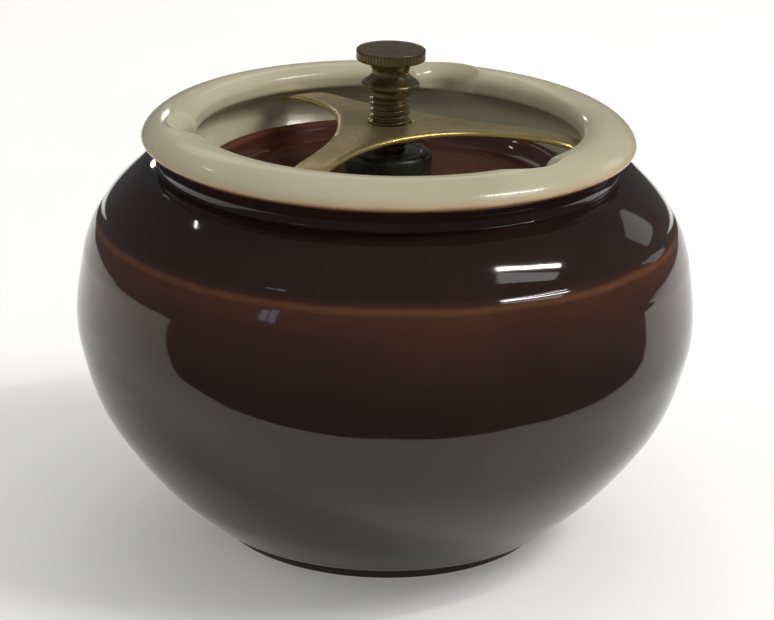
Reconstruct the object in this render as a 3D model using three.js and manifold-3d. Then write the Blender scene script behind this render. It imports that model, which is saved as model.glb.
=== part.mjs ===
// Squat round stoneware crock whose lid is clamped down by a three-armed brass spider and a thumb screw.
// Millimetres, +Z up. The origin is on the table, at the centre of the foot ring.
// Every turned piece is centred on the Z axis, so each profile below is a list of (radius, height).
// The closure is drawn locked: the spider's arms lie under the lip, between its three notches.
import * as THREE from "three";
import { ParametricGeometry } from "three/addons/geometries/ParametricGeometry.js";
import { mergeVertices } from "three/addons/utils/BufferGeometryUtils.js";
import Module from "manifold-3d";

const wasm = await Module();
wasm.setup();

// Driving dimensions
const GAP = 0.3; // air between pieces that touch
const SEGMENTS = 40; // facets round the crock and the lid
const BELLY_R = 77.5;
const BELLY_Z = 58;
const FOOT_R = 42.6;
const FOOT_H = 3.0;
const CORNER_R = 72.7; // the belly's rounded upper corner
const CORNER_Z = 80.2;
const ROLL_R = 71.0; // widest ring of the rolled shoulder
const ROLL_Z = 83.6;
const NECK_R = 57.2;
const NECK_Z = 94.0;
const LIP_R = 61.1;
const LIP_Z = 101.0;
const LIP_TOP_Z = 106.0;
const LIP_TOP_R = 53.5;
const MOUTH_R = 47.6; // narrowest ring of the lip
const MOUTH_Z = 102.8;
const RECESS_R = 53.0; // hollow under the lip that the spider's arms turn in
const SEAT_Z = 84.7; // ledge that carries the gasket
const SEAT_R = 48.2;
const THROAT_R = 42.0;
const FLOOR_Z = 7.0;

const NOTCHES = 3;
const NOTCH_ANGLE = -48; // degrees from +X to the first notch
const NOTCH_CENTRE_R = 44.6;
const NOTCH_CUT_R = 7.6;
const NOTCH_FLARE_R = 10.0;

const GASKET_IN_R = 42.6;
const GASKET_OUT_R = 47.4;
const GASKET_H = 1.6;
const GASKET_Z = SEAT_Z + GAP;

const LID_R = 46.8;
const LID_PLUG_R = 41.2;
const LID_FLANGE_Z = GASKET_Z + GASKET_H + GAP;
const LID_UNDER_Z = 82.6;
const LID_BEAD_Z = 92.2;
const LID_DISH_Z = 87.5;
const LID_PAD_Z = 88.0; // flat that the thrust boss stands on
const LID_HOLE_R = 2.2;

const BOSS_R = 10.7;
const BOSS_TOP_Z = 97.0;
const BOSS_BORE_R = 3.6;
const CHAMBER_R = 5.3; // widened lower bore, for the insert and the clip
const CHAMBER_TOP_Z = 94.2;
const BOSS_Z = LID_PAD_Z + GAP;

const INSERT_R = 5.0;
const INSERT_Z = BOSS_Z + GAP;
const INSERT_TOP_Z = 92.0;
const INSERT_HOLE_R = 2.15;
const INSERT_HOLE_TOP_Z = 91.2;

const FIXING_R = 1.85;
const FIXING_HEAD_R = 3.8;
const FIXING_HEAD_H = 2.2;
const WASHER_R = 6.5;
const WASHER_H = 1.0;

const ARM_ANGLE = 1; // degrees from +X to the first arm
const ARM_REACH = 49.6;
const ARM_HALF_W = 4.2;
const ARM_TIP_CUT = 1.2; // bevelled corners of each tip
const WEB_R = 12.8; // nearest the concave webs come to the axis
const WEB_PULL = 7; // how far a web keeps its direction before it bends out along the arm
const SPIDER_TOP_Z = 104.4;
const SPIDER_T = 1.4;
const SPIDER_FLAT_R = 7.5;
const HUB_R = 8.6;
const HUB_UNDER_Z = 100.4;
const TAP_MOUTH_R = 5.8;

const PITCH = 1.5; // M10 x 1.5 right-hand thread
const THREAD_R = 5.0;
const THREAD_DEPTH = 0.9;
const THREAD_SIDES = 20;
const THREAD_STEPS = 5; // facets per pitch
const THREAD_LOW_Z = 98.4;
const THREAD_TOP_Z = 110.9;
const TIP_R = 3.2;
const TIP_Z = INSERT_TOP_Z + GAP;
const CLIP_Z = 93.0;
const CLIP_T = 0.5;
const CLIP_GROOVE_R = 2.4;
const CLIP_IN_R = 2.7;
const CLIP_OUT_R = 4.8;
const WAIST_R = 4.5;
const COLLAR_R = 7.15;
const COLLAR_Z = 114.1;
const KNOB_R = 8.5;
const KNOB_TOP_Z = 122.7;
const KNOB_H = 2.75;
const KNURLS = 32;
const KNURL_DEPTH = 0.35;

const BROWN = new THREE.MeshStandardMaterial({ color: 0x3a2420, roughness: 0.15, metalness: 0 });
const LID_BROWN = new THREE.MeshStandardMaterial({ color: 0x44241c, roughness: 0.15, metalness: 0 });
const BRASS = new THREE.MeshStandardMaterial({ color: 0xa08948, roughness: 0.35, metalness: 1 });
const OLD_BRASS = new THREE.MeshStandardMaterial({ color: 0x6b5a33, roughness: 0.45, metalness: 1 });
const BLACK = new THREE.MeshStandardMaterial({ color: 0x161a18, roughness: 0.3, metalness: 0 });
const RUBBER = new THREE.MeshStandardMaterial({ color: 0x2a2622, roughness: 0.8, metalness: 0 });
const STEEL = new THREE.MeshStandardMaterial({ color: 0x9a9a98, roughness: 0.35, metalness: 1 });

// Booleans
function toSolid(geometry) {
  const bare = geometry.clone();
  bare.deleteAttribute("normal");
  bare.deleteAttribute("uv");
  const merged = mergeVertices(bare, 1e-4);
  const vertProperties = new Float32Array(merged.attributes.position.array);
  const triVerts = new Uint32Array(merged.index.array);
  return new wasm.Manifold(new wasm.Mesh({ numProp: 3, vertProperties, triVerts }));
}

function toGeometry(solid) {
  const mesh = solid.getMesh();
  const geometry = new THREE.BufferGeometry();
  geometry.setAttribute("position", new THREE.BufferAttribute(new Float32Array(mesh.vertProperties), 3));
  geometry.setIndex(new THREE.BufferAttribute(new Uint32Array(mesh.triVerts), 1));
  geometry.computeVertexNormals();
  return geometry;
}

// A turned solid about Z from a path of (radius, height), which runs from the lowest point outwards and up.
function turned(path, curveSteps = 3, segments = SEGMENTS) {
  const lathe = new THREE.LatheGeometry(path.getPoints(curveSteps), segments);
  return lathe.rotateX(Math.PI / 2);
}

function pathThrough(points) {
  const path = new THREE.Path();
  path.moveTo(...points[0]);
  for (const point of points.slice(1)) path.lineTo(...point);
  return path;
}

const vectors = (points) => points.map(([r, z]) => new THREE.Vector2(r, z));

// A ring with a rectangular section.
function ring(innerR, outerR, z, height, segments = SEGMENTS) {
  const corners = [[innerR, z], [outerR, z], [outerR, z + height], [innerR, z + height], [innerR, z]];
  return turned(pathThrough(corners), 1, segments);
}

function add(group, name, geometry, material) {
  const mesh = new THREE.Mesh(geometry, material.clone());
  mesh.name = name;
  group.add(mesh);
}

// Crock: foot, belly, corner, groove, rolled shoulder, neck, lip, then down the inside to the floor.
function crockProfile() {
  const path = new THREE.Path();
  path.moveTo(0, 2.4);
  path.lineTo(34, 2.4);
  path.lineTo(36, 0);
  path.lineTo(FOOT_R - 0.8, 0);
  path.quadraticCurveTo(FOOT_R, 0, FOOT_R, 0.8);
  path.lineTo(FOOT_R + 0.2, FOOT_H);
  path.quadraticCurveTo(44, 4, 47.2, 4.4);
  path.splineThru(vectors([[59.5, 16], [71.2, 32.2], [76.5, 47.5], [BELLY_R, BELLY_Z], [75.6, 72.5]]));
  path.quadraticCurveTo(74.3, 77.4, CORNER_R, CORNER_Z);
  path.quadraticCurveTo(71.9, 81.6, 70.0, 82.0);
  path.quadraticCurveTo(71.0, 82.4, ROLL_R, ROLL_Z);
  path.bezierCurveTo(70.6, 86.6, 65.2, 88.9, 62.0, 92.2);
  path.quadraticCurveTo(59.5, 93.6, NECK_R, NECK_Z);
  path.quadraticCurveTo(56.2, 97.4, 59.6, 99.2);
  path.quadraticCurveTo(60.9, 99.8, LIP_R, LIP_Z);
  path.bezierCurveTo(60.7, 102.6, 58.2, 105.4, LIP_TOP_R, LIP_TOP_Z);
  path.bezierCurveTo(50.8, LIP_TOP_Z, 48.0, 105.2, MOUTH_R, MOUTH_Z);
  path.lineTo(MOUTH_R, 101.0);
  path.quadraticCurveTo(MOUTH_R + 0.2, 99.9, 49.4, 99.7);
  path.bezierCurveTo(52.0, 99.3, RECESS_R, 97.6, RECESS_R, 95.4);
  path.bezierCurveTo(RECESS_R, 92.4, 49.6, 90.0, SEAT_R, 87.0);
  path.lineTo(SEAT_R, SEAT_Z);
  path.lineTo(THROAT_R, SEAT_Z);
  path.lineTo(THROAT_R, 81.4);
  path.quadraticCurveTo(43.0, 79.4, 48.0, 79.2);
  path.bezierCurveTo(60.0, 79.0, 67.5, 74.0, 70.3, 64.0);
  path.splineThru(vectors([[71.0, 52.0], [67.4, 36.0], [58.0, 20.5]]));
  path.bezierCurveTo(51.0, 11.0, 42.0, FLOOR_Z, 30.0, FLOOR_Z);
  path.lineTo(0, FLOOR_Z);
  return path;
}

// A scoop through the lip that widens towards the top, wide enough to let one arm drop past.
function notchCutter(index) {
  const profile = new THREE.Path();
  profile.moveTo(0, 97.6);
  profile.lineTo(NOTCH_CUT_R, 97.6);
  profile.lineTo(NOTCH_CUT_R, 102.2);
  profile.quadraticCurveTo(NOTCH_CUT_R + 0.3, 104.6, NOTCH_FLARE_R, LIP_TOP_Z + 0.4);
  profile.lineTo(0, LIP_TOP_Z + 0.4);
  const cutter = turned(profile, 3, 24);
  cutter.translate(NOTCH_CENTRE_R, 0, 0);
  return cutter.rotateZ(THREE.MathUtils.degToRad(NOTCH_ANGLE + (index * 360) / NOTCHES));
}

function crockBody() {
  let crock = toSolid(turned(crockProfile(), 2));
  for (let index = 0; index < NOTCHES; index++) crock = crock.subtract(toSolid(notchCutter(index)));
  return toGeometry(crock);
}

// Lid: a plug that drops into the throat, a flange on the gasket, a raised bead and a dished top.
function lid() {
  const path = new THREE.Path();
  path.moveTo(LID_HOLE_R, LID_UNDER_Z);
  path.lineTo(LID_PLUG_R - 1.6, LID_UNDER_Z);
  path.lineTo(LID_PLUG_R, LID_UNDER_Z + 1.6);
  path.lineTo(LID_PLUG_R, LID_FLANGE_Z);
  path.lineTo(LID_R - 0.9, LID_FLANGE_Z);
  path.quadraticCurveTo(LID_R, LID_FLANGE_Z, LID_R, LID_FLANGE_Z + 1);
  path.lineTo(LID_R, LID_BEAD_Z - 1.8);
  path.bezierCurveTo(LID_R, LID_BEAD_Z - 0.4, 46.2, LID_BEAD_Z, 45.2, LID_BEAD_Z);
  path.bezierCurveTo(42.8, LID_BEAD_Z, 43.2, LID_DISH_Z + 1.2, 38.0, LID_DISH_Z + 0.5);
  path.quadraticCurveTo(32.0, LID_DISH_Z, 22.0, LID_DISH_Z);
  path.quadraticCurveTo(15.0, LID_DISH_Z, 12.6, LID_PAD_Z);
  path.lineTo(LID_HOLE_R, LID_PAD_Z);
  path.lineTo(LID_HOLE_R, LID_UNDER_Z);
  return turned(path, 2);
}

// Thrust boss: a round black block, bored for the screw's tip, open below to a wider chamber.
function thrustBoss() {
  const path = new THREE.Path();
  path.moveTo(CHAMBER_R, BOSS_Z);
  path.lineTo(BOSS_R - 0.4, BOSS_Z);
  path.lineTo(BOSS_R, BOSS_Z + 0.4);
  path.lineTo(BOSS_R, BOSS_TOP_Z - 1.4);
  path.quadraticCurveTo(BOSS_R, BOSS_TOP_Z, BOSS_R - 1.6, BOSS_TOP_Z);
  path.lineTo(BOSS_BORE_R + 1, BOSS_TOP_Z);
  path.lineTo(BOSS_BORE_R, BOSS_TOP_Z - 1);
  path.lineTo(BOSS_BORE_R, CHAMBER_TOP_Z);
  path.lineTo(CHAMBER_R, CHAMBER_TOP_Z);
  path.lineTo(CHAMBER_R, BOSS_Z);
  return turned(path, 2, 28);
}

// Brass slug in the chamber: its top takes the screw's thrust, its blind hole takes the fixing screw.
function thrustInsert() {
  const points = [
    [INSERT_HOLE_R, INSERT_Z],
    [INSERT_R, INSERT_Z],
    [INSERT_R, INSERT_TOP_Z],
    [0, INSERT_TOP_Z],
    [0, INSERT_HOLE_TOP_Z],
    [INSERT_HOLE_R, INSERT_HOLE_TOP_Z],
    [INSERT_HOLE_R, INSERT_Z],
  ];
  return turned(pathThrough(points), 1, 24);
}

// Fixing screw up through the lid into the insert, with a slotted pan head under the lid.
function fixingScrew() {
  const headTop = LID_UNDER_Z - WASHER_H - 2 * GAP;
  const headLow = headTop - FIXING_HEAD_H;
  const path = new THREE.Path();
  path.moveTo(0, headLow);
  path.lineTo(FIXING_HEAD_R - 1, headLow);
  path.quadraticCurveTo(FIXING_HEAD_R, headLow, FIXING_HEAD_R, headLow + 1);
  path.lineTo(FIXING_HEAD_R, headTop);
  path.lineTo(FIXING_R, headTop);
  path.lineTo(FIXING_R, INSERT_HOLE_TOP_Z - GAP);
  path.lineTo(0, INSERT_HOLE_TOP_Z - GAP);
  const slot = new THREE.BoxGeometry(3 * FIXING_HEAD_R, 1, 2).translate(0, 0, headLow);
  return toGeometry(toSolid(turned(path, 3, 20)).subtract(toSolid(slot)));
}

// Height of the spider's upper face at a radius: flat on the hub, then falling away to the tips.
function spiderTopPath(drop) {
  const path = new THREE.Path();
  path.moveTo(0, SPIDER_TOP_Z - drop);
  path.lineTo(SPIDER_FLAT_R, SPIDER_TOP_Z - drop);
  path.bezierCurveTo(24, SPIDER_TOP_Z - 0.9 - drop, 38, 102.6 - drop, 44, 100.6 - drop);
  path.quadraticCurveTo(47, 99.5 - drop, ARM_REACH + 1, 98.6 - drop);
  return path.getPoints(4);
}

// One third of the spider's outline in the arm's own axes, then turned to the three arms.
function spiderOutline() {
  const shape = new THREE.Shape();
  const third = (2 * Math.PI) / 3;
  const turn = (x, y, index) => {
    const angle = index * third + THREE.MathUtils.degToRad(ARM_ANGLE);
    const c = Math.cos(angle);
    const s = Math.sin(angle);
    return [c * x - s * y, s * x + c * y];
  };
  const webX = WEB_R * Math.cos(third / 2);
  const webY = WEB_R * Math.sin(third / 2);
  const pullX = webX + WEB_PULL * Math.cos(third / 4);
  const pullY = webY - WEB_PULL * Math.sin(third / 4);
  shape.moveTo(...turn(webX, -webY, 0));
  for (let index = 0; index < 3; index++) {
    const at = (x, y) => turn(x, y, index);
    shape.bezierCurveTo(...at(pullX, -pullY), ...at(20, -ARM_HALF_W), ...at(32, -ARM_HALF_W));
    shape.lineTo(...at(ARM_REACH - ARM_TIP_CUT, -ARM_HALF_W));
    shape.lineTo(...at(ARM_REACH, -ARM_HALF_W + ARM_TIP_CUT));
    shape.lineTo(...at(ARM_REACH, ARM_HALF_W - ARM_TIP_CUT));
    shape.lineTo(...at(ARM_REACH - ARM_TIP_CUT, ARM_HALF_W));
    shape.lineTo(...at(32, ARM_HALF_W));
    shape.bezierCurveTo(...at(20, ARM_HALF_W), ...at(pullX, pullY), ...at(webX, webY));
  }
  return shape;
}

// Radius of the thread's surface at an angle and height: one right-hand helix, crests truncated.
function threadRadius(angle, z, offset) {
  const turns = z / PITCH - angle / (2 * Math.PI);
  const fromCrest = Math.abs(turns - Math.round(turns)) * 2;
  const slope = THREE.MathUtils.clamp((fromCrest - 0.15) / 0.6, 0, 1);
  return THREAD_R - THREAD_DEPTH * slope + offset;
}

function threadSolid(lowZ, highZ, offset) {
  const rows = Math.round(((highZ - lowZ) / PITCH) * THREAD_STEPS);
  const surface = (u, v, target) => {
    const angle = u * 2 * Math.PI;
    const row = THREE.MathUtils.clamp(v * (rows + 2) - 1, 0, rows);
    const z = lowZ + (row / rows) * (highZ - lowZ);
    const capped = v === 0 || v === 1;
    const radius = capped ? 0 : threadRadius(angle, z, offset);
    target.set(radius * Math.cos(angle), radius * Math.sin(angle), z);
  };
  return toSolid(new ParametricGeometry(surface, THREAD_SIDES, rows + 2));
}

// Spider: a domed plate cut to the three-armed outline, with a thicker tapped hub.
function clampSpider() {
  const dome = [...spiderTopPath(SPIDER_T), ...spiderTopPath(0).reverse()];
  const plate = toSolid(new THREE.LatheGeometry(dome, 60).rotateX(Math.PI / 2));
  const prismLowZ = HUB_UNDER_Z - 6;
  const depth = SPIDER_TOP_Z + 3 - prismLowZ;
  const prism = new THREE.ExtrudeGeometry(spiderOutline(), { depth, bevelEnabled: false, curveSegments: 8 });
  const arms = plate.intersect(toSolid(prism.translate(0, 0, prismLowZ)));
  const hubPoints = [
    [0, HUB_UNDER_Z],
    [HUB_R - 0.6, HUB_UNDER_Z],
    [HUB_R, HUB_UNDER_Z + 0.6],
    [HUB_R, SPIDER_TOP_Z - SPIDER_T / 2],
    [0, SPIDER_TOP_Z - SPIDER_T / 2],
  ];
  const hub = toSolid(turned(pathThrough(hubPoints), 1, 32));
  const tap = threadSolid(HUB_UNDER_Z - PITCH, SPIDER_TOP_Z + PITCH, GAP);
  const cone = new THREE.CylinderGeometry(TAP_MOUTH_R + 0.5, TAP_MOUTH_R - 0.5, 1, 32);
  const mouth = toSolid(cone.rotateX(Math.PI / 2).translate(0, 0, SPIDER_TOP_Z));
  return toGeometry(arms.add(hub).subtract(tap).subtract(mouth));
}

// Thumb screw: knurled disc, waist, flared collar, thread and a plain tip with a clip groove.
function thumbScrew() {
  const teeth = new THREE.Shape();
  for (let index = 0; index < 2 * KNURLS; index++) {
    const angle = (index * Math.PI) / KNURLS;
    const radius = index % 2 ? KNOB_R - KNURL_DEPTH : KNOB_R;
    const corner = [radius * Math.cos(angle), radius * Math.sin(angle)];
    if (index) teeth.lineTo(...corner);
    else teeth.moveTo(...corner);
  }
  const disc = new THREE.ExtrudeGeometry(teeth, { depth: KNOB_H, bevelEnabled: false });
  const path = new THREE.Path();
  path.moveTo(0, THREAD_TOP_Z - 0.6);
  path.lineTo(THREAD_R, THREAD_TOP_Z - 0.6);
  path.lineTo(THREAD_R, COLLAR_Z - 1.8);
  path.quadraticCurveTo(5.6, COLLAR_Z - 1.4, 6.7, COLLAR_Z - 0.7);
  path.quadraticCurveTo(COLLAR_R + 0.05, COLLAR_Z - 0.35, COLLAR_R, COLLAR_Z);
  path.bezierCurveTo(COLLAR_R - 0.2, COLLAR_Z + 0.6, 4.9, 115.4, WAIST_R, 116.8);
  path.bezierCurveTo(WAIST_R, 117.8, 4.9, 118.6, 6.0, KNOB_TOP_Z - KNOB_H + 0.2);
  path.lineTo(0, KNOB_TOP_Z - KNOB_H + 0.2);
  const tipPoints = [
    [0, TIP_Z],
    [TIP_R - 0.4, TIP_Z],
    [TIP_R, TIP_Z + 0.4],
    [CLIP_GROOVE_R, TIP_Z + 0.4],
    [CLIP_GROOVE_R, CLIP_Z + CLIP_T + GAP],
    [TIP_R, CLIP_Z + CLIP_T + GAP],
    [TIP_R, THREAD_LOW_Z + 0.5],
    [0, THREAD_LOW_Z + 0.5],
  ];
  const head = toSolid(disc.translate(0, 0, KNOB_TOP_Z - KNOB_H));
  const neck = toSolid(turned(path, 2, 28));
  const thread = threadSolid(THREAD_LOW_Z, THREAD_TOP_Z, 0);
  const tip = toSolid(turned(pathThrough(tipPoints), 1, 24));
  return toGeometry(head.add(neck).add(thread).add(tip));
}

// Open retaining ring on the screw's tip, inside the boss: it lifts the lid when the screw is backed out.
function retainingClip() {
  const shape = new THREE.Shape();
  const half = 0.45; // radians from the centre of the opening to each end
  shape.absarc(0, 0, CLIP_OUT_R, half, 2 * Math.PI - half, false);
  shape.absarc(0, 0, CLIP_IN_R, 2 * Math.PI - half, half, true);
  const clip = new THREE.ExtrudeGeometry(shape, { depth: CLIP_T, bevelEnabled: false, curveSegments: 14 });
  return clip.translate(0, 0, CLIP_Z);
}

const model = new THREE.Group();
add(model, "crock_body", crockBody(), BROWN);
add(model, "lid", lid(), LID_BROWN);
add(model, "lid_gasket", ring(GASKET_IN_R, GASKET_OUT_R, GASKET_Z, GASKET_H), RUBBER);
add(model, "thrust_boss", thrustBoss(), BLACK);
add(model, "thrust_insert", thrustInsert(), BRASS);
add(model, "fixing_screw", fixingScrew(), STEEL);
const washerZ = LID_UNDER_Z - GAP - WASHER_H;
add(model, "fixing_washer", ring(LID_HOLE_R, WASHER_R, washerZ, WASHER_H, 24), RUBBER);
add(model, "clamp_spider", clampSpider(), BRASS);
add(model, "thumb_screw", thumbScrew(), OLD_BRASS);
add(model, "retaining_clip", retainingClip(), STEEL);

export default model;
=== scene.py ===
import math

import bpy
from mathutils import Matrix, Vector, noise


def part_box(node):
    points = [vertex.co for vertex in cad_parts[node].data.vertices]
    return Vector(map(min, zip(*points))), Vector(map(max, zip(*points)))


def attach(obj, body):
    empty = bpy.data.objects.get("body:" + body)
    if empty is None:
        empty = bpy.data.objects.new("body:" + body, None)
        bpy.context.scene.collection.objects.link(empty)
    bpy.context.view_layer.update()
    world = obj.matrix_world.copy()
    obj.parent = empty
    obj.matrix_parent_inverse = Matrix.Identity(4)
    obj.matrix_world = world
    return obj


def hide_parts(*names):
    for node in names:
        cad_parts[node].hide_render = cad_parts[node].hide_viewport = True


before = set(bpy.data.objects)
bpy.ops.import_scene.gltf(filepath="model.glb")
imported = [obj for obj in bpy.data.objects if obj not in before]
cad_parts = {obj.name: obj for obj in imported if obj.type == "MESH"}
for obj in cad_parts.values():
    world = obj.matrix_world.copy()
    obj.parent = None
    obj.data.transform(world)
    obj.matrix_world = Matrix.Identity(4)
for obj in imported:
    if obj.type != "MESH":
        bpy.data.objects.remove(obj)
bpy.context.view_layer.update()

# Lengths below are millimetres in the CAD frame; MM turns them into metres.
MM = 0.001
TAU = 2 * math.pi


def cad_box(node):
    """A node's lowest and highest corner at rest, in millimetres."""
    low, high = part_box(node)
    return [v / MM for v in low], [v / MM for v in high]


CROCK_HIGH = cad_box("crock_body")[1]
LID_LOW, LID_HIGH = cad_box("lid")
GASKET_LOW, GASKET_HIGH = cad_box("lid_gasket")
BOSS_LOW, BOSS_HIGH = cad_box("thrust_boss")
WASHER_LOW, WASHER_HIGH = cad_box("fixing_washer")
SPIDER_HIGH = cad_box("clamp_spider")[1]
SCREW_LOW, SCREW_HIGH = cad_box("thumb_screw")

# crock
BELLY_R = 77.5
LIP_TOP = CROCK_HIGH[2]
CORNER_Z = 80.3
CROCK_SEGMENTS = 432
MOUTH_R = 47.6
RECESS_R = 53.0
NOTCH_ANGLES = [math.radians(a) for a in (-48, 72, 192)]
NOTCH_CENTRE_R = 44.6
NOTCH_CUT_R = 7.6
NOTCH_REACH_R = 56
NOTCH_LOW = 97.4
NOTCH_FLARE_LOW = 102.2
NOTCH_BLEND = 1.5

# spider
ARM_TURN = math.radians(1)
ARM_REACH = 49.6
ARM_HALF_W = 4.2
ARM_TIP_CUT = 1.2
WEB_R = 12.8
WEB_PULL = 7
SPIDER_TOP = SPIDER_HIGH[2]
SPIDER_T = 1.4
SPIDER_FLAT_R = 7.5
HUB_UNDER = 100.4
HUB_R = 8.6
HUB_FILLET_R = 9.4
TAP_CLEARANCE = 0.3
TAP_FACE_R = 6.1

# thumb screw
PITCH = 1.5
THREAD_R = 5.0
THREAD_DEPTH = 0.9
THREAD_LOW = 98.4
THREAD_TOP = 110.9
THREAD_ROOT_R = 4.1
THREAD_FADE = 0.5
TIP_R = 3.2
CLIP_GROOVE_R = 2.4
CLIP_GROOVE_TOP = 93.8
COLLAR_R = 7.15
WAIST_R = 4.5
WAIST_Z = 116.8
KNOB_R = 8.5
KNOB_H = 2.75
COLLAR_Z = 114.1
KNURLS = 60
KNURL_DEPTH = 0.32

# Camera: where the photographer stood, as a distance in front, a height, a tilt and a slight roll.
CAMERA_Y = -600.0
CAMERA_Z = 273.2
CAMERA_YAW = 0.0008
CAMERA_PITCH = 0.3493
CAMERA_ROLL = 0.0232
CAMERA_LENS = 117.1

# The pale table glows a little, as a light table does, so that the crock's shadow stays soft.
FLOOR_GLOW = 0.12


# ---------------------------------------------------------------- profiles
def line(start, end, count=1):
    return [
        (start[0] + (end[0] - start[0]) * k / count, start[1] + (end[1] - start[1]) * k / count)
        for k in range(count + 1)
    ]


def curve(*control, count=10):
    """A Bezier curve of any order through its first and last control point."""
    points = []
    for k in range(count + 1):
        t = k / count
        level = [tuple(p) for p in control]
        while len(level) > 1:
            level = [
                (a[0] + (b[0] - a[0]) * t, a[1] + (b[1] - a[1]) * t) for a, b in zip(level, level[1:])
            ]
        points.append(level[0])
    return points


def through(points, count=8):
    """A Catmull-Rom curve through the points."""
    padded = [points[0], *points, points[-1]]
    out = [points[0]]
    for p0, p1, p2, p3 in zip(padded, padded[1:], padded[2:], padded[3:]):
        for k in range(1, count + 1):
            t = k / count
            out.append(
                tuple(
                    0.5
                    * (
                        2 * b
                        + (c - a) * t
                        + (2 * a - 5 * b + 4 * c - d) * t * t
                        + (3 * b - a - 3 * c + d) * t**3
                    )
                    for a, b, c, d in zip(p0, p1, p2, p3)
                )
            )
    return out


def chain(*parts):
    """Joins stretches of a profile and drops the points that they share."""
    out = []
    for part in parts:
        for point in part:
            if not out or math.dist(out[-1], point) > 1e-6:
                out.append(point)
    return out


def eased(points, radius=0.15, steps=3, closed=False):
    """Rounds each sharp corner of a profile, so that smooth shading keeps a crisp edge."""
    out = []
    count = len(points)
    for k, point in enumerate(points):
        inner = closed or 0 < k < count - 1
        before = Vector(points[k - 1])
        after = Vector(points[(k + 1) % count])
        here = Vector(point)
        back = before - here
        ahead = after - here
        if not inner or back.length < 1e-9 or ahead.length < 1e-9:
            out.append(point)
            continue
        if back.angle(-ahead) < math.radians(25):
            out.append(point)
            continue
        reach = min(radius, 0.45 * back.length, 0.45 * ahead.length)
        start = here + back.normalized() * reach
        end = here + ahead.normalized() * reach
        out += curve(tuple(start), tuple(here), tuple(end), count=steps)
    return out


# ---------------------------------------------------------------- meshes
def piece(name, vertices, faces, body, materials, face_materials=None):
    """A smooth mesh object in metres that rides on a CAD body."""
    mesh = bpy.data.meshes.new(name)
    mesh.from_pydata([(x * MM, y * MM, z * MM) for x, y, z in vertices], [], faces)
    mesh.validate()
    for material in materials:
        mesh.materials.append(material)
    if face_materials:
        for polygon, index in zip(mesh.polygons, face_materials):
            polygon.material_index = index
    mesh.shade_smooth()
    obj = bpy.data.objects.new(name, mesh)
    bpy.context.scene.collection.objects.link(obj)
    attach(obj, body)
    return obj


def grid_faces(rows, columns, loop_rows):
    """Quads between neighbouring rows of points; every row is a closed ring."""
    faces = []
    for i in range(rows if loop_rows else rows - 1):
        j = (i + 1) % rows
        for k in range(columns):
            n = (k + 1) % columns
            faces.append((i * columns + k, i * columns + n, j * columns + n, j * columns + k))
    return faces


def turned(profile, segments, place=None, loop=False):
    """Vertices and faces of a turned solid; place(angle, index, r, z) may move a point."""
    on_axis = [not loop and k in (0, len(profile) - 1) for k in range(len(profile))]
    rings = [k for k in range(len(profile)) if not on_axis[k]]
    vertices = []
    for k in rings:
        r, z = profile[k]
        for s in range(segments):
            angle = TAU * s / segments
            pr, pz = place(angle, k, r, z) if place else (r, z)
            vertices.append((pr * math.cos(angle), pr * math.sin(angle), pz))
    faces = grid_faces(len(rings), segments, loop)
    if not loop:
        last = (len(rings) - 1) * segments
        low = len(vertices)
        vertices.append((0, 0, profile[0][1]))
        vertices.append((0, 0, profile[-1][1]))
        for s in range(segments):
            n = (s + 1) % segments
            faces.append((low, n, s))
            faces.append((low + 1, last + s, last + n))
    return vertices, faces


# ---------------------------------------------------------------- materials
def colour(red, green, blue):
    """An 8-bit screen colour as linear RGBA."""
    values = []
    for v in (red, green, blue):
        s = v / 255
        values.append(s / 12.92 if s <= 0.04045 else ((s + 0.055) / 1.055) ** 2.4)
    return (*values, 1.0)


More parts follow.
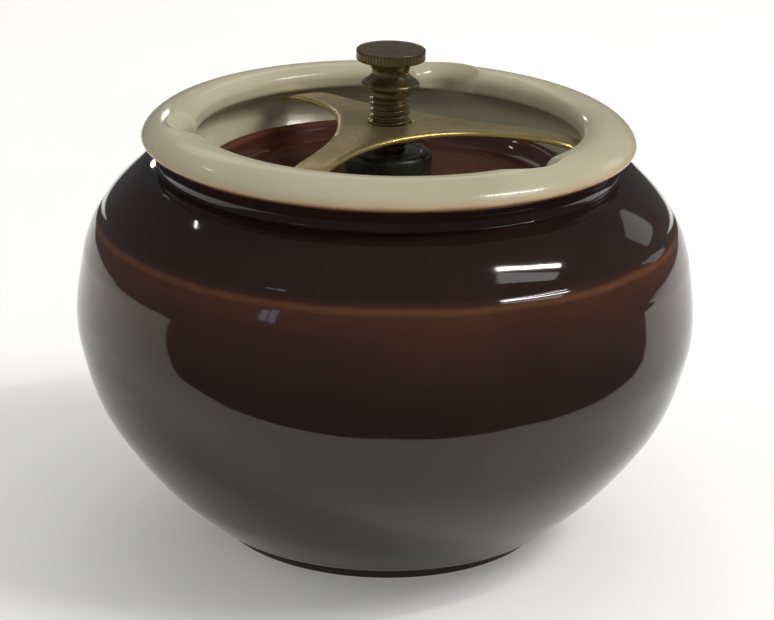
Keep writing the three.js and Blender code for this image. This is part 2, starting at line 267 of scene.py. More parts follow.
class Finish:
    """A procedural material: helpers that add nodes, around one Principled shader."""

    def __init__(self, name, metallic=0.0, roughness=0.3, ior=1.5, specular=0.5):
        self.material = bpy.data.materials.new(name)
        self.material.use_nodes = True
        self.tree = self.material.node_tree
        self.tree.nodes.clear()
        self.shader = self.tree.nodes.new("ShaderNodeBsdfPrincipled")
        output = self.tree.nodes.new("ShaderNodeOutputMaterial")
        self.link(self.shader.outputs["BSDF"], output.inputs["Surface"])
        self.shader.inputs["Metallic"].default_value = metallic
        self.shader.inputs["Roughness"].default_value = roughness
        self.shader.inputs["IOR"].default_value = ior
        self.shader.inputs["Specular IOR Level"].default_value = specular
        self.place = self.tree.nodes.new("ShaderNodeTexCoord").outputs["Object"]

    def link(self, source, target):
        self.tree.links.new(source, target)

    def feed(self, socket, value):
        if isinstance(value, (int, float)):
            socket.default_value = value
        elif isinstance(value, tuple):
            socket.default_value = value
        else:
            self.link(value, socket)

    def stretched(self, scale):
        node = self.tree.nodes.new("ShaderNodeMapping")
        node.inputs["Scale"].default_value = scale
        self.link(self.place, node.inputs["Vector"])
        return node.outputs["Vector"]

    def noise(self, scale, detail=3.0, rough=0.55, vector=None, distortion=0.0):
        node = self.tree.nodes.new("ShaderNodeTexNoise")
        self.link(vector or self.place, node.inputs["Vector"])
        node.inputs["Scale"].default_value = scale
        node.inputs["Detail"].default_value = detail
        node.inputs["Roughness"].default_value = rough
        node.inputs["Distortion"].default_value = distortion
        return node.outputs["Fac"]

    def cells(self, scale):
        node = self.tree.nodes.new("ShaderNodeTexVoronoi")
        self.link(self.place, node.inputs["Vector"])
        node.inputs["Scale"].default_value = scale
        return node.outputs["Distance"]

    def math(self, operation, a, b=0.0, c=0.0):
        node = self.tree.nodes.new("ShaderNodeMath")
        node.operation = operation
        for socket, value in zip(node.inputs, (a, b, c)):
            self.feed(socket, value)
        return node.outputs["Value"]

    def span(self, value, low, high, to_low=0.0, to_high=1.0, smooth=False):
        node = self.tree.nodes.new("ShaderNodeMapRange")
        node.interpolation_type = "SMOOTHSTEP" if smooth else "LINEAR"
        self.feed(node.inputs["Value"], value)
        node.inputs["From Min"].default_value = low
        node.inputs["From Max"].default_value = high
        node.inputs["To Min"].default_value = to_low
        node.inputs["To Max"].default_value = to_high
        return node.outputs["Result"]

    def ramp(self, value, stops):
        node = self.tree.nodes.new("ShaderNodeValToRGB")
        self.feed(node.inputs["Fac"], value)
        elements = node.color_ramp.elements
        while len(elements) < len(stops):
            elements.new(0.5)
        for element, (at, rgba) in zip(elements, stops):
            element.position = at
            element.color = rgba
        return node.outputs["Color"]

    def mix(self, amount, a, b, blend="MIX"):
        node = self.tree.nodes.new("ShaderNodeMix")
        node.data_type = "RGBA"
        node.blend_type = blend
        self.feed(node.inputs["Factor"], amount)
        self.feed(node.inputs[6], a)
        self.feed(node.inputs[7], b)
        return node.outputs[2]

    def height(self):
        """The point's height in millimetres, and its distance from the axis."""
        node = self.tree.nodes.new("ShaderNodeSeparateXYZ")
        self.link(self.place, node.inputs["Vector"])
        x, y, z = node.outputs
        squares = self.math("ADD", self.math("MULTIPLY", x, x), self.math("MULTIPLY", y, y))
        radius = self.math("SQRT", squares)
        return self.math("MULTIPLY", z, 1 / MM), self.math("MULTIPLY", radius, 1 / MM)

    def bump(self, value, distance, strength=1.0, normal=None):
        node = self.tree.nodes.new("ShaderNodeBump")
        node.inputs["Strength"].default_value = strength
        node.inputs["Distance"].default_value = distance * MM
        self.link(value, node.inputs["Height"])
        if normal:
            self.link(normal, node.inputs["Normal"])
        return node.outputs["Normal"]

    def set(self, **sockets):
        names = {"base": "Base Color", "roughness": "Roughness", "normal": "Normal"}
        for key, value in sockets.items():
            self.feed(self.shader.inputs[names[key]], value)
        return self.material


BREAK_BROWN = colour(112, 72, 46)
GLAZE_DARK = colour(36, 21, 19)


def brown_glaze():
    """Dark brown glaze that runs thin and orange on the belly's corner and under the lip."""
    f = Finish("brown_glaze", roughness=0.06, ior=1.52)
    z = f.height()[0]
    drift = f.span(f.noise(55, 4), 0.3, 0.7, -0.2, 0.2)
    level = f.math("ADD", z, drift)
    tone = f.ramp(
        f.math("DIVIDE", level, LIP_TOP),
        [
            (0.0, colour(28, 20, 18)),
            (0.09, colour(32, 22, 20)),
            (0.34, colour(27, 19, 17)),
            (0.56, colour(33, 21, 17)),
            (0.70, colour(52, 32, 23)),
            (0.745, colour(64, 38, 26)),
            (0.78, colour(40, 26, 21)),
            (0.84, colour(37, 24, 21)),
            (0.90, colour(30, 20, 18)),
            (1.0, colour(46, 34, 30)),
        ],
    )
    cloud = f.mix(f.span(f.noise(22, 5, 0.6), 0.35, 0.7), (0.82, 0.82, 0.84, 1), (1.18, 1.12, 1.08, 1))
    tone = f.mix(1.0, tone, cloud, "MULTIPLY")
    # the break line on the corner: narrow, uneven and orange
    off_corner = f.math("ABSOLUTE", f.math("SUBTRACT", level, CORNER_Z))
    ragged = f.span(f.noise(260, 3), 0.25, 0.75, 0.55, 1.0)
    corner = f.math("MULTIPLY", f.span(off_corner, 0.1, 1.2, 1.0, 0.0, smooth=True), ragged)
    tone = f.mix(f.math("MULTIPLY", corner, 0.5), tone, BREAK_BROWN)
    edge = f.span(level, 99.7, 100.3, 0.0, 1.0, smooth=True)
    tone = f.mix(f.math("MULTIPLY", edge, 0.9), tone, BREAK_BROWN)
    speck = f.span(f.cells(420), 0.05, 0.12, 1.0, 0.0)
    speck = f.math("MULTIPLY", speck, f.span(f.noise(90, 2), 0.58, 0.66))
    tone = f.mix(f.math("MULTIPLY", speck, 0.5), tone, GLAZE_DARK)
    waves = f.bump(f.noise(38, 2, 0.4), 0.16)
    skin = f.bump(f.noise(700, 2), 0.004, normal=waves)
    rough = f.span(f.noise(45, 4), 0.3, 0.75, 0.045, 0.085)
    return f.set(base=tone, roughness=rough, normal=skin)


def cream_glaze():
    """Cream glaze of the lip and the inside, stained brown where it meets the dark glaze."""
    f = Finish("cream_glaze", roughness=0.12, ior=1.5)
    z, r = f.height()
    drift = f.span(f.noise(70, 4), 0.3, 0.7, -0.25, 0.25)
    level = f.math("ADD", z, drift)
    base = f.ramp(
        f.noise(16, 5, 0.6),
        [(0.3, colour(168, 161, 137)), (0.5, colour(178, 171, 147)), (0.7, colour(186, 181, 159))],
    )
    mottle = f.span(f.noise(120, 5, 0.65), 0.45, 0.7)
    base = f.mix(f.math("MULTIPLY", mottle, 0.25), base, colour(174, 158, 122))
    outside = f.span(r, 58.5, 59.5)
    stain = f.math("MULTIPLY", f.span(level, 100.5, 101.4, 1.0, 0.0, smooth=True), outside)
    ragged = f.span(f.noise(240, 3), 0.25, 0.75, 0.6, 1.0)
    base = f.mix(f.math("MULTIPLY", stain, ragged), base, BREAK_BROWN)
    blush = f.math("MULTIPLY", f.span(level, 101.0, 103.2, 1.0, 0.0, smooth=True), outside)
    base = f.mix(f.math("MULTIPLY", blush, 0.35), base, colour(168, 132, 88))
    speck = f.span(f.cells(330), 0.03, 0.09, 1.0, 0.0)
    speck = f.math("MULTIPLY", speck, f.span(f.noise(60, 2), 0.6, 0.68))
    base = f.mix(f.math("MULTIPLY", speck, 0.55), base, colour(110, 84, 52))
    pits = f.math("MULTIPLY", f.span(f.cells(520), 0.0, 0.16), 1.0)
    waves = f.bump(f.noise(48, 2, 0.4), 0.12)
    skin = f.bump(pits, 0.02, strength=0.5, normal=waves)
    rough = f.span(f.noise(60, 4), 0.3, 0.75, 0.09, 0.2)
    return f.set(base=base, roughness=rough, normal=skin)


def bare_clay():
    f = Finish("bare_clay", roughness=0.8)
    tone = f.ramp(f.noise(300, 6, 0.7), [(0.3, colour(150, 128, 100)), (0.7, colour(190, 170, 140))])
    grit = f.bump(f.noise(1500, 4, 0.7), 0.06)
    return f.set(base=tone, normal=grit)


def lid_glaze():
    """Red-brown glaze, with a painted highlight on top of the raised ring near its edge and painted shade
    on the lid's outer side.
    """
    f = Finish("lid_glaze", roughness=0.06, ior=1.52)
    z, r = f.height()
    tone = f.ramp(
        f.noise(30, 5, 0.6),
        [(0.3, colour(52, 30, 24)), (0.55, colour(68, 38, 29)), (0.75, colour(80, 46, 34))],
    )
    # painted highlight: the top of the raised ring near the edge is painted a lighter brown
    ring_top_painted_highlight = f.span(z, 91.0, 92.0, 0.0, 1.0, smooth=True)
    tone = f.mix(f.math("MULTIPLY", ring_top_painted_highlight, 0.35), tone, colour(112, 66, 44))
    # painted shade: the lid's outer rim, down in the crock's recess, is painted darker
    side = f.span(r, 45.8, 46.6, 0.0, 1.0, smooth=True)
    tone = f.mix(f.math("MULTIPLY", side, 0.6), tone, colour(40, 22, 20))
    waves = f.bump(f.noise(60, 2, 0.4), 0.08)
    rough = f.span(f.noise(80, 4), 0.3, 0.75, 0.045, 0.1)
    return f.set(base=tone, roughness=rough, normal=waves)


def brass(name, low, high, rough_low, rough_high, scratch, tarnish=0.35):
    """Brass with cloudy tarnish, fine brushing and a little dirt."""
    f = Finish(name, metallic=0.88)
    cloud = f.noise(90, 5, 0.6)
    tone = f.ramp(cloud, [(0.3, low), (0.7, high)])
    blotch = f.span(f.noise(240, 4, 0.65), 0.55, 0.72)
    tone = f.mix(f.math("MULTIPLY", blotch, tarnish), tone, colour(74, 60, 34))
    brushed = f.noise(1.0, 4, 0.7, vector=f.stretched(scratch))
    worn = f.span(cloud, 0.3, 0.7, rough_high, rough_low)
    rough = f.math("ADD", worn, f.span(brushed, 0.3, 0.7, -0.05, 0.05))
    grain = f.bump(brushed, 0.01)
    dents = f.bump(f.noise(160, 3), 0.03, normal=grain)
    return f.set(base=tone, roughness=rough, normal=dents)


def black_boss():
    f = Finish("boss_black", roughness=0.28, ior=1.5)
    tone = f.ramp(f.noise(200, 5), [(0.3, colour(28, 32, 29)), (0.7, colour(48, 51, 45))])
    dust = f.span(f.noise(900, 3), 0.6, 0.75, 0.0, 0.3)
    tone = f.mix(dust, tone, colour(78, 76, 66))
    rough = f.span(f.noise(300, 4), 0.3, 0.7, 0.2, 0.38)
    fine = f.bump(f.noise(1200, 3), 0.01)
    return f.set(base=tone, roughness=rough, normal=fine)


def rubber(name, dark, light):
    f = Finish(name, roughness=0.7)
    tone = f.ramp(f.noise(400, 5), [(0.3, dark), (0.7, light)])
    fine = f.bump(f.noise(2500, 3), 0.02)
    return f.set(base=tone, roughness=f.span(f.noise(300), 0.3, 0.7, 0.6, 0.85), normal=fine)


def steel(name):
    f = Finish(name, metallic=1.0)
    cloud = f.noise(400, 4)
    tone = f.ramp(cloud, [(0.3, colour(140, 140, 138)), (0.7, colour(182, 180, 176))])
    fine = f.bump(f.noise(1.0, 4, 0.7, vector=f.stretched((400, 400, 6000))), 0.01)
    return f.set(base=tone, roughness=f.span(cloud, 0.3, 0.7, 0.25, 0.42), normal=fine)


# ---------------------------------------------------------------- crock
def soft_max(a, b, blend):
    """The larger of two lengths, with the switch between them rounded off."""
    h = min(max(0.5 + 0.5 * (b - a) / blend, 0), 1)
    return a * (1 - h) + b * h + blend * h * (1 - h)


def notched(angle, r, z):
    """Moves a point of the lip outwards to the wall of the scoop that it lies in, if any."""
    if z < NOTCH_LOW or r > NOTCH_REACH_R:
        return r
    off = min(abs((angle - a + math.pi) % TAU - math.pi) for a in NOTCH_ANGLES)
    flare = max(z - NOTCH_FLARE_LOW, 0) / (LIP_TOP + 0.4 - NOTCH_FLARE_LOW)
    cut = NOTCH_CUT_R * min((z - NOTCH_LOW) / 0.8 + 0.6, 1) + 0.8 * flare + 2.9 * flare**2
    under_root = cut**2 - (NOTCH_CENTRE_R * math.sin(off)) ** 2
    if off > 0.5 or under_root < 0:
        return r
    return soft_max(r, NOTCH_CENTRE_R * math.cos(off) + math.sqrt(under_root), NOTCH_BLEND)


def crock():
    belly = chain(
        curve((42.8, 3.0), (43.4, 4.0), (47.2, 4.4), count=5),
        through(
            [(47.2, 4.4), (59.5, 16.0), (71.2, 32.2), (76.5, 47.5), (BELLY_R, 58.0), (75.6, 72.5)], 12
        ),
        curve((75.6, 72.5), (74.3, 77.4), (72.7, 80.2), count=8),
        curve((72.7, 80.2), (72.2, 81.1), (71.5, 81.75), count=10),
        curve((71.5, 81.75), (71.0, 82.22), (70.6, 83.2), count=10),
        curve((70.6, 83.2), (69.95, 84.8), (66.4, 88.8), (62.0, 92.2), count=20),
        curve((62.0, 92.2), (59.5, 93.6), (57.2, 94.0), count=8),
        curve((57.2, 94.0), (56.2, 97.4), (59.6, 99.2), count=10),
        curve((59.6, 99.2), (60.5, 99.7), (60.85, 100.3), count=5),
    )
    foot = chain(
        line((0, 2.4), (34, 2.4), 6),
        line((34, 2.4), (36, 0), 2),
        line((36, 0), (41.8, 0), 3),
        curve((41.8, 0), (42.6, 0), (42.6, 0.8), count=4),
        line((42.6, 0.8), (42.8, 3.0), 2),
    )
    crown = chain(
        curve((60.85, 100.3), (61.1, 100.6), (61.15, 101.0), count=4),
        curve((61.15, 101.0), (60.7, 102.6), (58.2, 105.4), (53.5, LIP_TOP), count=20),
        curve((53.5, LIP_TOP), (50.8, LIP_TOP), (48.0, 105.2), (MOUTH_R, 102.8), count=24),
        line((MOUTH_R, 102.8), (MOUTH_R, 101.0), 3),
        curve((MOUTH_R, 101.0), (MOUTH_R + 0.2, 99.9), (49.4, 99.7), count=7),
        curve((49.4, 99.7), (52.0, 99.3), (RECESS_R, 97.6), (RECESS_R, 95.4), count=12),
    )
    inside = chain(
        curve((RECESS_R, 95.4), (RECESS_R, 92.4), (49.6, 90.0), (48.2, 87.0), count=12),
        line((48.2, 87.0), (48.2, 84.7), 2),
        line((48.2, 84.7), (42.0, 84.7), 3),
        line((42.0, 84.7), (42.0, 81.4), 2),
        curve((42.0, 81.4), (43.0, 79.4), (48.0, 79.2), count=6),
        curve((48.0, 79.2), (60.0, 79.0), (67.5, 74.0), (70.3, 64.0), count=14),
        through([(70.3, 64.0), (71.0, 52.0), (67.4, 36.0), (58.0, 20.5)], 7),
        curve((58.0, 20.5), (51.0, 11.0), (42.0, 7.0), (30.0, 7.0), count=12),
        line((30.0, 7.0), (0, 7.0), 5),
    )
    profile = chain(foot, belly, crown, inside)
    bare_end = len(foot) - 6
    brown_end = len(foot) + len(belly) - 2

    def place(angle, index, r, z):
        r = notched(angle, r, z)
        # hand-finished clay: the wall wanders by a tenth of a millimetre
        if 4 < z < 99 and r > 44:
            at = Vector((r * math.cos(angle), r * math.sin(angle), z * 1.4)) / 34
            r += 0.16 * noise.noise(at) + 0.05 * noise.noise(at * 2.7)
        return r, z

    vertices, faces = turned(profile, CROCK_SEGMENTS, place)
    rings = len(profile) - 2
    owners = []
    for ring in range(rings - 1):
        kind = 2 if ring < bare_end else 0 if ring < brown_end else 1
        owners += [kind] * CROCK_SEGMENTS
    owners += [2, 1] * CROCK_SEGMENTS
    obj = piece(
        "crock_glazed",
        vertices,
        faces,
        "crock",
        [brown_glaze(), cream_glaze(), bare_clay()],
        owners,
    )
    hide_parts("crock_body")


# ---------------------------------------------------------------- lid and its small parts
def lid():
    under = LID_LOW[2]
    flange = GASKET_HIGH[2] + 0.3
    top = LID_HIGH[2]
    dish = 87.5
    pad = 88.0
    profile = chain(
        line((2.2, under), (39.6, under), 8),
        line((39.6, under), (41.2, under + 1.6), 2),
        line((41.2, under + 1.6), (41.2, flange), 2),
        line((41.2, flange), (45.9, flange), 3),
        curve((45.9, flange), (46.8, flange), (46.8, flange + 1), count=5),
        line((46.8, flange + 1), (46.8, top - 1.8), 3),
        curve((46.8, top - 1.8), (46.8, top - 0.4), (46.2, top), (45.2, top), count=10),
        curve((45.2, top), (42.8, top), (43.2, dish + 1.2), (38.0, dish + 0.5), count=18),
        curve((38.0, dish + 0.5), (32.0, dish), (22.0, dish), count=10),
        curve((22.0, dish), (15.0, dish), (12.6, pad), count=8),
        line((12.6, pad), (2.2, pad), 4),
        line((2.2, pad), (2.2, under), 3),
    )[:-1]

    def place(angle, index, r, z):
        if z > dish - 0.1 and r > 13:
            at = Vector((r * math.cos(angle), r * math.sin(angle), z)) / 18
            z += 0.06 * noise.noise(at)
        return r, z

    vertices, faces = turned(eased(profile, 0.25, closed=True), 192, place, loop=True)
    obj = piece("lid_glazed", vertices, faces, "lid", [lid_glaze()])
    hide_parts("lid")


def gasket():
    low, high = GASKET_LOW[2], GASKET_HIGH[2]
    profile = [(42.6, low), (47.4, low), (47.4, high), (42.6, high)]
    vertices, faces = turned(eased(profile, 0.5, 4, closed=True), 160, loop=True)
    finish = rubber("gasket_rubber", colour(24, 22, 20), colour(40, 36, 32))
    obj = piece("gasket_ring", vertices, faces, "lid", [finish])
    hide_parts("lid_gasket")


def washer():
    low, high = WASHER_LOW[2], WASHER_HIGH[2]
    profile = [(2.2, low), (6.5, low), (6.5, high), (2.2, high)]
    vertices, faces = turned(eased(profile, 0.25, closed=True), 96, loop=True)
    finish = rubber("washer_rubber", colour(30, 28, 26), colour(48, 44, 40))
    obj = piece("washer_ring", vertices, faces, "lid", [finish])
    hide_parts("fixing_washer")


def boss():
    low, top = BOSS_LOW[2], BOSS_HIGH[2]
    profile = chain(
        line((5.3, low), (10.3, low), 2),
        line((10.3, low), (10.7, low + 0.4)),
        line((10.7, low + 0.4), (10.7, top - 1.4), 6),
        curve((10.7, top - 1.4), (10.7, top), (9.1, top), count=8),
        line((9.1, top), (8.3, top), 1),
        curve((8.3, top), (8.0, top - 0.25), (7.6, top - 0.25), count=4),
        line((7.6, top - 0.25), (4.6, top - 0.1), 3),
        line((4.6, top - 0.1), (3.6, top - 1), 2),
        line((3.6, top - 1), (3.6, 94.2), 2),
        line((3.6, 94.2), (5.3, 94.2), 1),
        line((5.3, 94.2), (5.3, low), 3),
    )[:-1]
    vertices, faces = turned(eased(profile, 0.12, closed=True), 128, loop=True)
    obj = piece("boss_moulding", vertices, faces, "lid", [black_boss()])
    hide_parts("thrust_boss")


# ---------------------------------------------------------------- spider
def thread_radius(angle, z, offset):
    turns = z / PITCH - angle / TAU
    from_crest = abs(turns - round(turns)) * 2
    slope = min(max((from_crest - 0.15) / 0.6, 0), 1)
    slope = slope * slope * (3 - 2 * slope)
    return THREAD_R - THREAD_DEPTH * slope + offset


def spider_tops():
    drop = chain(
        line((0, SPIDER_TOP), (SPIDER_FLAT_R, SPIDER_TOP), 2),
        curve((SPIDER_FLAT_R, SPIDER_TOP), (24, SPIDER_TOP - 0.9), (38, 102.6), (44, 100.6), count=24),
        curve((44, 100.6), (47, 99.5), (ARM_REACH + 1, 98.6), count=10),
    )

    def height(r):
        for a, b in zip(drop, drop[1:]):
            if a[0] <= r <= b[0]:
                return a[1] + (b[1] - a[1]) * (r - a[0]) / (b[0] - a[0])
        return drop[-1][1]

    return height


def spider_outline():
    """Points round the three arms and their webs, as seen from above, with outward normals."""
    web = (WEB_R * math.cos(math.pi / 3), WEB_R * math.sin(math.pi / 3))
    pull = (web[0] + WEB_PULL * math.cos(math.pi / 6), web[1] - WEB_PULL * math.sin(math.pi / 6))
    tip_side = (ARM_REACH - ARM_TIP_CUT, ARM_HALF_W)
    tip_end = (ARM_REACH, ARM_HALF_W - ARM_TIP_CUT)
    side = chain(
        curve(web, pull, (20, ARM_HALF_W), (32, ARM_HALF_W), count=26),
        line((32, ARM_HALF_W), tip_side, 12),
        curve(tip_side, (ARM_REACH, ARM_HALF_W), tip_end, count=6),
        line(tip_end, (ARM_REACH, 0), 3),
    )
    arm = [(x, -y) for x, y in side][:-1] + side[::-1]
    arm = arm[:-1]
    points = []
    for index in range(3):
        angle = ARM_TURN + index * TAU / 3
        c, s = math.cos(angle), math.sin(angle)
        points += [(c * x - s * y, s * x + c * y) for x, y in arm]
    normals = []
    for k in range(len(points)):
        before, after = points[k - 1], points[(k + 1) % len(points)]
        along = Vector((after[0] - before[0], after[1] - before[1])).normalized()
        normals.append((along.y, -along.x))
    return points, normals


def spider():
    points, normals = spider_outline()
    angles = [math.atan2(y, x) for x, y in points]
    height = spider_tops()
    edge = 0.35  # radius of the polished arris
    roll_width = 1.9  # how far in from its edge the plate bends down
    roll_depth = 0.45
    around = [Vector(p) for p in points]

    def rolled(x, y):
        """Height of the plate's upper face, which bends down a little towards its outline."""
        here = Vector((x, y))
        away = min((here - q).length for q in around)
        return height(here.length) - roll_depth * max(1 - away / roll_width, 0) ** 2

    def circle(r, z):
        return [(r * math.cos(a), r * math.sin(a), z) for a in angles]

    def inset(depth, drop):
        row = []
        for (x, y), (nx, ny) in zip(points, normals):
            px, py = x - nx * depth, y - ny * depth
            row.append((px, py, height(math.hypot(px, py)) - drop))
        return row

    def between(r, share, drop):
        row = []
        for a, (x, y), (nx, ny) in zip(angles, points, normals):
            ox, oy = x - nx * edge, y - ny * edge
            px = r * math.cos(a) * (1 - share) + ox * share
            py = r * math.sin(a) * (1 - share) + oy * share
            row.append((px, py, height(math.hypot(px, py)) - drop))
        return row

    def upper(share):
        return [(p[0], p[1], rolled(p[0], p[1])) for p in between(TAP_FACE_R, share, 0.0)]

    def tapped(z):
        row = []
        for a in angles:
            r = thread_radius(a, z, TAP_CLEARANCE)
            row.append((r * math.cos(a), r * math.sin(a), z))
        return row

    rows = []
    kinds = []

    def add(row, kind=0):
        rows.append(row)
        kinds.append(kind)

    low = HUB_UNDER + 0.3
    high = SPIDER_TOP - 0.9
    steps = 26
    for k in range(steps + 1):
        add(tapped(low + (high - low) * k / steps))
    add(circle(5.32, SPIDER_TOP - 0.6), 1)
    add(circle(5.62, SPIDER_TOP - 0.14), 1)
    add(circle(5.72, SPIDER_TOP + 0.02), 1)
    add(circle(5.86, SPIDER_TOP + 0.02), 1)
    add(circle(5.96, SPIDER_TOP - 0.02))
    for share in (0.0, 0.06, 0.14, 0.24, 0.35, 0.46, 0.56, 0.65, 0.73, 0.8, 0.86, 0.91, 0.95, 0.98, 1.0):
        add(upper(share))
    for k in range(1, 5):
        turn = k / 4 * math.pi / 2
        add(inset(edge * (1 - math.sin(turn)), roll_depth + edge * (1 - math.cos(turn))), 1)
    add(inset(0.0, roll_depth + edge + 0.25), 1)
    for k in range(0, 4):
        turn = k / 3 * math.pi / 2
        add(inset(0.2 * (1 - math.cos(turn)), SPIDER_T - 0.2 * (1 - math.sin(turn))))
    for share in (1.0, 0.9, 0.75, 0.6, 0.45, 0.3, 0.15, 0.05, 0.0):
        add(between(HUB_FILLET_R, share, SPIDER_T))
    add(circle(8.75, SPIDER_TOP - SPIDER_T - 0.3))
    add(circle(HUB_R, HUB_UNDER + 0.9))
    add(circle(HUB_R, HUB_UNDER + 0.6))
    add(circle(HUB_R - 0.5, HUB_UNDER + 0.08))
    add(circle(HUB_R - 0.8, HUB_UNDER))
    add(circle(5.7, HUB_UNDER))
    columns = len(points)
    faces = grid_faces(len(rows), columns, True)
    owners = []
    for k in range(len(rows)):
        polished = kinds[k] and kinds[(k + 1) % len(rows)]
        owners += [1 if polished else 0] * columns
    face_brass = brass(
        "spider_brass", colour(172, 152, 106), colour(202, 182, 132), 0.26, 0.4, (900, 5200, 900)
    )
    edge_brass = brass(
        "edge_brass", colour(224, 196, 112), colour(240, 218, 140), 0.12, 0.22, (2500, 2500, 2500), 0.1
    )
    vertices = [v for row in rows for v in row]
    obj = piece(
        "spider_cast", vertices, faces, "clamp", [face_brass, edge_brass], owners
    )
    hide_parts("clamp_spider")


# ---------------------------------------------------------------- thumb screw
def thumb_screw():
    low, top = SCREW_LOW[2], SCREW_HIGH[2]
    chamfer = 0.4
    tip = eased(
        chain(
            line((0, low), (TIP_R - chamfer, low), 3),
            line((TIP_R - chamfer, low), (TIP_R, low + chamfer)),
            line((TIP_R, low + chamfer), (CLIP_GROOVE_R, low + chamfer)),
            line((CLIP_GROOVE_R, low + chamfer), (CLIP_GROOVE_R, CLIP_GROOVE_TOP)),
            line((CLIP_GROOVE_R, CLIP_GROOVE_TOP), (TIP_R, CLIP_GROOVE_TOP)),
            line((TIP_R, CLIP_GROOVE_TOP), (TIP_R, THREAD_LOW - 0.1), 3),
            line((TIP_R, THREAD_LOW - 0.1), (THREAD_ROOT_R, THREAD_LOW)),
        ),
        0.08,
    )
    thread = line((THREAD_R, THREAD_LOW), (THREAD_R, THREAD_TOP), 110)
    body = eased(
        chain(
            line((4.2, THREAD_TOP + 0.1), (THREAD_R, THREAD_TOP + 0.35)),
            line((THREAD_R, THREAD_TOP + 0.35), (THREAD_R, COLLAR_Z - 1.8), 3),
            curve((THREAD_R, COLLAR_Z - 1.8), (5.6, COLLAR_Z - 1.4), (6.7, COLLAR_Z - 0.7), count=6),
            curve((6.7, COLLAR_Z - 0.7), (7.2, COLLAR_Z - 0.35), (COLLAR_R, COLLAR_Z), count=6),
            curve((COLLAR_R, COLLAR_Z), (6.95, COLLAR_Z + 0.6), (4.9, 115.4), (WAIST_R, WAIST_Z), count=16),
            curve((WAIST_R, WAIST_Z), (WAIST_R, 117.8), (4.9, 118.6), (6.0, top - KNOB_H + 0.05), count=12),
            line((6.0, top - KNOB_H + 0.05), (8.0, top - KNOB_H), 3),
        ),
        0.1,
    )
    rim = chain(
        curve((8.0, top - KNOB_H), (8.2, top - KNOB_H), (8.3, top - KNOB_H + 0.12), count=3),
        line((KNOB_R, top - KNOB_H + 0.22), (KNOB_R, top - 0.22), 4),
        curve((8.32, top - 0.1), (8.28, top), (8.05, top), count=4),
    )
    face = chain(
        line((8.05, top), (7.85, top), 1),
        curve((7.85, top), (7.7, top - 0.12), (7.4, top - 0.13), count=4),
        line((7.4, top - 0.13), (0, top - 0.2), 10),
    )
    profile = tip + thread + chain(body, rim, face)
    thread_from = len(tip)
    thread_to = thread_from + len(thread)

    def place(angle, index, r, z):
        if thread_from <= index < thread_to:
            fade = min((THREAD_TOP - z) / THREAD_FADE, (z - THREAD_LOW) / THREAD_FADE, 1)
            return THREAD_ROOT_R + (thread_radius(angle, z, 0) - THREAD_ROOT_R) * max(fade, 0), z
        if abs(r - KNOB_R) < 1e-6:
            tooth = abs(math.cos(angle * KNURLS / 2))
            return r - KNURL_DEPTH * (1 - tooth) ** 1.2, z
        return r, z

    vertices, faces = turned(profile, 480, place)
    finish = brass(
        "screw_brass", colour(112, 98, 74), colour(150, 132, 96), 0.17, 0.3, (300, 300, 9000), 0.5
    )
    obj = piece("screw_turned", vertices, faces, "screw", [finish])
    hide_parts("thumb_screw")


# ---------------------------------------------------------------- carried-over CAD pieces
def finish_cad_nodes():
    dark, light = colour(178, 150, 84), colour(206, 178, 106)
    insert = brass("insert_brass", dark, light, 0.2, 0.35, (300, 300, 6000))
    plain_steel = steel("plain_steel")
    for node, material in (
        ("thrust_insert", insert),
        ("fixing_screw", plain_steel),
        ("retaining_clip", plain_steel),
    ):
        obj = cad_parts[node]
        for index in range(len(obj.material_slots)):
            obj.material_slots[index].material = material


# ---------------------------------------------------------------- stage, light and camera
def pale_finish():
    f = Finish("pale_floor", roughness=0.75)
    f.shader.inputs["Emission Color"].default_value = (1, 1, 1, 1)
    f.shader.inputs["Emission Strength"].default_value = FLOOR_GLOW
    tone = f.ramp(f.noise(3, 3), [(0.3, colour(238, 238, 236)), (0.7, colour(245, 245, 244))])
    return f.set(base=tone, normal=f.bump(f.noise(400, 3), 0.02))


def stage_piece(name, vertices, faces, material):
    mesh = bpy.data.meshes.new(name)
    mesh.from_pydata([(x * MM, y * MM, z * MM) for x, y, z in vertices], [], faces)
    mesh.shade_smooth()
    mesh.materials.append(material)
    obj = bpy.data.objects.new(name, mesh)
    bpy.context.scene.collection.objects.link(obj)
    return obj


def stage_floor():
    """A pale table with a rounded front, close before the crock, in a pale round studio."""
    pale = pale_finish()
    front = [(-1300, -110), (-260, -118), (-120, -141), (0, -146), (60, -138), (110, -122)]
    right = [(150, -92), (240, -15), (420, 85), (640, 240), (1300, 420)]
    outline = [(x, y, 0) for x, y in front + right + [(1300, 640), (-1300, 640)]]
    stage_piece("table", outline, [tuple(range(len(outline)))], pale)
    section = chain(
        line((0, -0.8), (2200, -0.8), 4),
        curve((2200, -0.8), (2700, -0.8), (2700, 500), count=10),
        line((2700, 500), (2700, 2400), 2),
    )
    segments = 72
    vertices = [(0, 0, section[0][1])]
    for r, z in section[1:]:
        turns = [TAU * k / segments for k in range(segments)]
        vertices += [(r * math.cos(a), r * math.sin(a), z) for a in turns]
    faces = [(0, 1 + k, 1 + (k + 1) % segments) for k in range(segments)]
    for ring in range(len(section) - 2):
        low = 1 + ring * segments
        for k in range(segments):
            n = (k + 1) % segments
            faces.append((low + k, low + segments + k, low + segments + n, low + n))
    # the room round the table stays out of the glaze's reflections, as a dark room would
    stage_piece("studio", vertices, faces, pale).visible_glossy = False


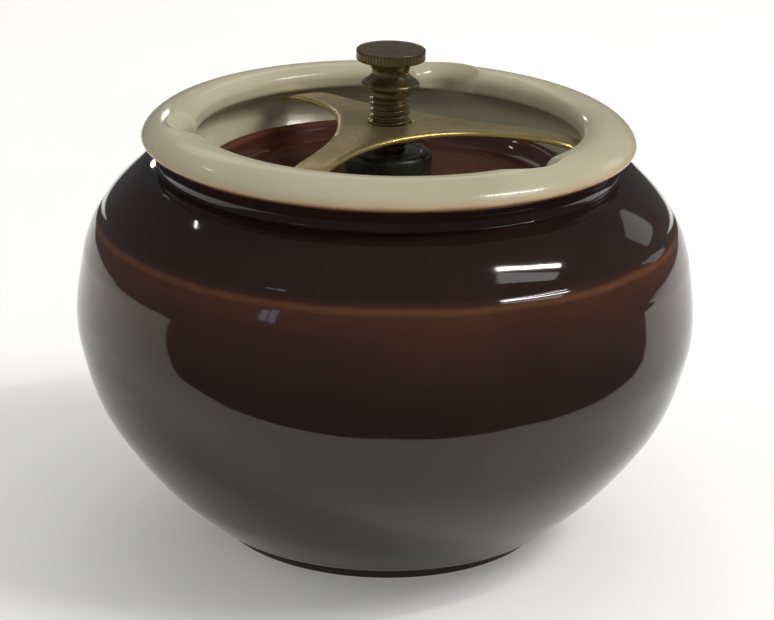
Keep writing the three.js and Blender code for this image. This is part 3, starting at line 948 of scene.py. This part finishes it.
def area_light(
    name, azimuth, elevation, distance, size, power, tint, in_gloss=True, target=(0, 0, 0.08), roll=0
):
    """A rectangular lamp, placed by angles in degrees and metres from the point that it faces."""
    data = bpy.data.lights.new(name, "AREA")
    data.shape = "RECTANGLE"
    data.size, data.size_y = size
    data.energy = power
    data.color = tint
    obj = bpy.data.objects.new(name, data)
    a, e = math.radians(azimuth), math.radians(elevation)
    way = Vector((math.cos(e) * math.cos(a), math.cos(e) * math.sin(a), math.sin(e)))
    obj.location = Vector(target) + way * distance
    facing = way.to_track_quat("Z", "Y").to_matrix() @ Matrix.Rotation(math.radians(roll), 3, "Z")
    obj.rotation_euler = facing.to_euler()
    obj.visible_glossy = in_gloss
    bpy.context.scene.collection.objects.link(obj)


def lighting():
    world = bpy.data.worlds.new("room")
    world.use_nodes = True
    sky = world.node_tree.nodes["Background"]
    sky.inputs["Color"].default_value = (0.92, 0.95, 1.0, 1)
    sky.inputs["Strength"].default_value = 0.11
    bpy.context.scene.world = world
    white, warm = (1.0, 1.0, 1.0), (1.0, 0.97, 0.92)
    cool, blue = (0.95, 0.98, 1.0), (0.62, 0.68, 1.0)
    # broad lamps that light the piece and the table, and don't show in the glaze
    area_light("overhead", 60, 80, 1.6, (1.8, 1.8), 6.2, (1.0, 0.98, 0.95), in_gloss=False)
    area_light("key", -6, 42, 1.3, (0.6, 0.5), 8.6, (1.0, 0.98, 0.94), in_gloss=False)
    area_light("front_fill", -90, 4, 1.2, (0.8, 0.3), 1.2, warm, in_gloss=False)
    area_light("left_fill", 172, 38, 1.2, (0.8, 0.6), 2.6, warm, in_gloss=False, target=(-0.2, -0.05, 0))
    area_light("back_wash", 90, 35, 1.1, (1.8, 0.8), 8, white, in_gloss=False, target=(0, 0.9, 0.3))
    # small lamps and window panes that the glaze and the brass mirror
    area_light("back_panel", 99, 37, 1.3, (0.9, 0.3), 0.55, warm)
    area_light("spark", 106, 15, 1.3, (0.1, 0.05), 0.25, warm)
    area_light("lamp", -11, 50.5, 1.25, (0.46, 0.05), 2.9, warm, roll=-44)
    area_light("lamp_glow", -20, 45, 1.25, (0.46, 0.2), 0.7, cool, roll=-44)
    area_light("lamp_left", 153, 42, 1.3, (0.1, 0.014), 0.14, warm)
    area_light("pane_left_a", -131, 22, 1.5, (0.08, 0.3), 0.12, blue)
    area_light("pane_left_b", -135, 21, 1.5, (0.08, 0.24), 0.1, blue)
    area_light("pane_right", 40, 19, 1.3, (0.3, 0.3), 0.2, cool)


def camera():
    forward = Vector(
        (
            math.sin(CAMERA_YAW) * math.cos(CAMERA_PITCH),
            math.cos(CAMERA_YAW) * math.cos(CAMERA_PITCH),
            -math.sin(CAMERA_PITCH),
        )
    )
    level = Vector((math.cos(CAMERA_YAW), -math.sin(CAMERA_YAW), 0))
    upright = level.cross(forward)
    right = level * math.cos(CAMERA_ROLL) + upright * math.sin(CAMERA_ROLL)
    up = upright * math.cos(CAMERA_ROLL) - level * math.sin(CAMERA_ROLL)
    data = bpy.data.cameras.new("camera")
    data.sensor_width = 36.0
    data.sensor_fit = "HORIZONTAL"
    data.lens = CAMERA_LENS
    data.clip_start = 0.01
    obj = bpy.data.objects.new("camera", data)
    matrix = Matrix((right, up, -forward)).transposed().to_4x4()
    matrix.translation = Vector((0, CAMERA_Y * MM, CAMERA_Z * MM))
    obj.matrix_world = matrix
    bpy.context.scene.collection.objects.link(obj)
    bpy.context.scene.camera = obj


camera()
crock()
lid()
gasket()
washer()
boss()
spider()
thumb_screw()
finish_cad_nodes()
stage_floor()
lighting()
bpy.context.scene.view_settings.view_transform = "Standard"
